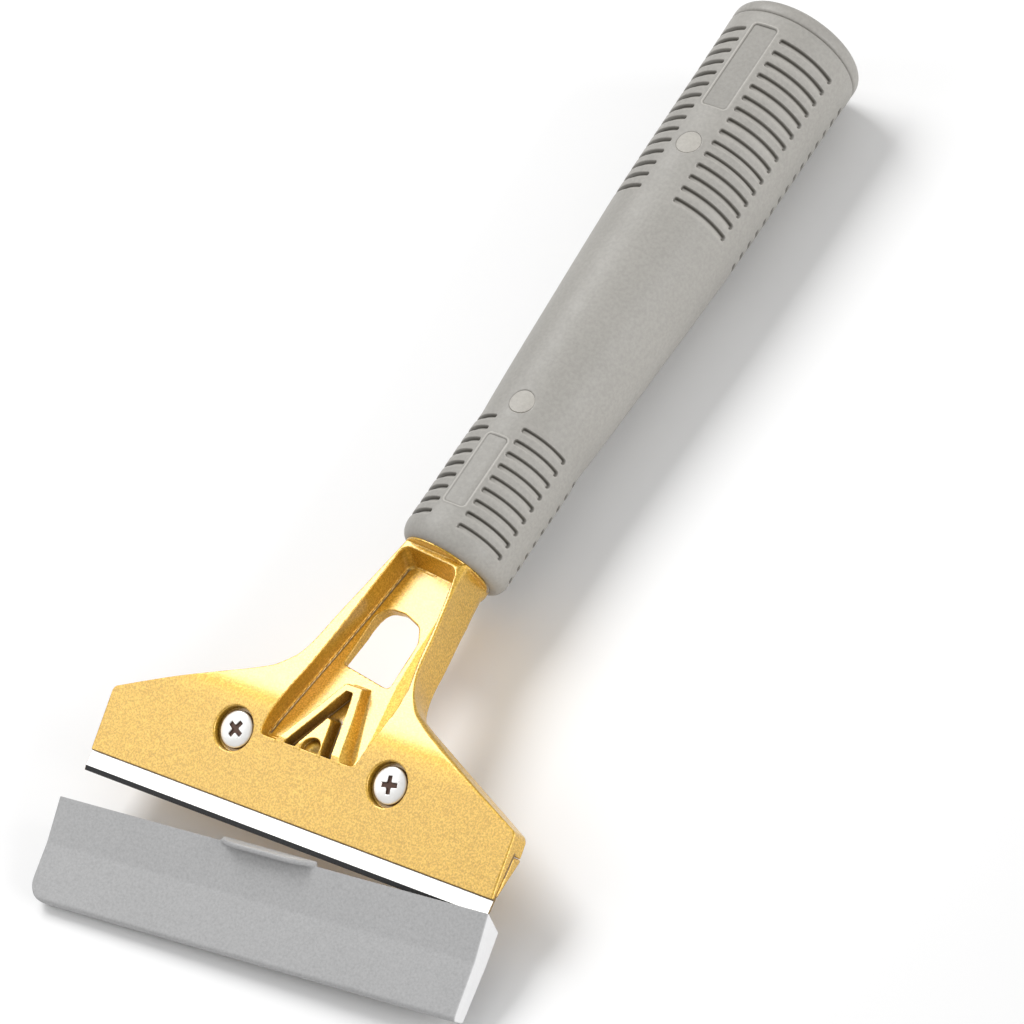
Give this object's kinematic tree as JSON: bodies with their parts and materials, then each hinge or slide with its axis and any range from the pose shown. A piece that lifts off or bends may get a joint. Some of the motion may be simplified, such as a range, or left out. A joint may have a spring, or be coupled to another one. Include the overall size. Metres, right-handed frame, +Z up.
{
  "type": "razor blade scraper",
  "caption": "Hand scraper with a bent metal head, a wide blade clamped by a plate and screws, a pull-off guard over the blade's edge and a ribbed round grip.",
  "frame": {"origin": "centre of the bounding box, on the surface the tool lies on", "axes": "+X along the blade's edge, +Y from the blade to the end of the grip, +Z up, on the side of the screws"},
  "size_m": [0.1052, 0.23, 0.0294],
  "materials": {
    "head_paint": "gold metallic paint on a cast surface",
    "clamp_paint": "gold metallic paint",
    "blade_steel": "ground strip steel",
    "screw_chrome": "bright plated",
    "guard_plastic": "fine-grained moulded",
    "core_plastic": "moulded",
    "grip_vinyl": "soft matt moulded",
    "cap_vinyl": "soft matt moulded",
    "pin_steel": "plain"
  },
  "bodies": {
    "tool": {"head_casting": "head_paint", "handle_core": "core_plastic", "handle_grip": "grip_vinyl", "end_cap": "cap_vinyl", "tang_pin": "pin_steel"},
    "screw_left": {"clamp_screw_left": "screw_chrome"},
    "screw_right": {"clamp_screw_right": "screw_chrome"},
    "clamp": {"clamp_plate": "clamp_paint"},
    "blade_strip": {"blade": "blade_steel"},
    "guard": {"blade_guard": "guard_plastic"}
  },
  "joints": [
    {"name": "screw_left_turn", "type": "hinge", "parent": "tool", "child": "screw_left", "pos_m": [-0.01946, -0.07271, 0.01857], "axis": [0, -0.4079, 0.913], "range_deg": [0, 360]},
    {"name": "screw_right_turn", "type": "hinge", "parent": "tool", "child": "screw_right", "pos_m": [0.01874, -0.07271, 0.01857], "axis": [0, -0.4079, 0.913], "range_deg": [0, 360]},
    {"name": "clamp_release", "type": "slide", "parent": "tool", "child": "clamp", "axis": [0, 0.4079, -0.913], "range_m": [0, 0.0007]},
    {"name": "blade_slide", "type": "slide", "parent": "tool", "child": "blade_strip", "axis": [0, -0.9609, -0.2769], "range_m": [0, 0.014]},
    {"name": "guard_pull", "type": "hinge", "parent": "blade_strip", "child": "guard", "pos_m": [0.12364, -0.08477, 0.01318], "axis": [0, -0.4079, 0.913], "range_deg": [-4.5, 2.5]}
  ],
  "couplings": [
    {"joint": "screw_left_turn", "follows": "clamp_release", "rad_per_m": 8976},
    {"joint": "screw_right_turn", "follows": "clamp_release", "rad_per_m": 8976}
  ]
}
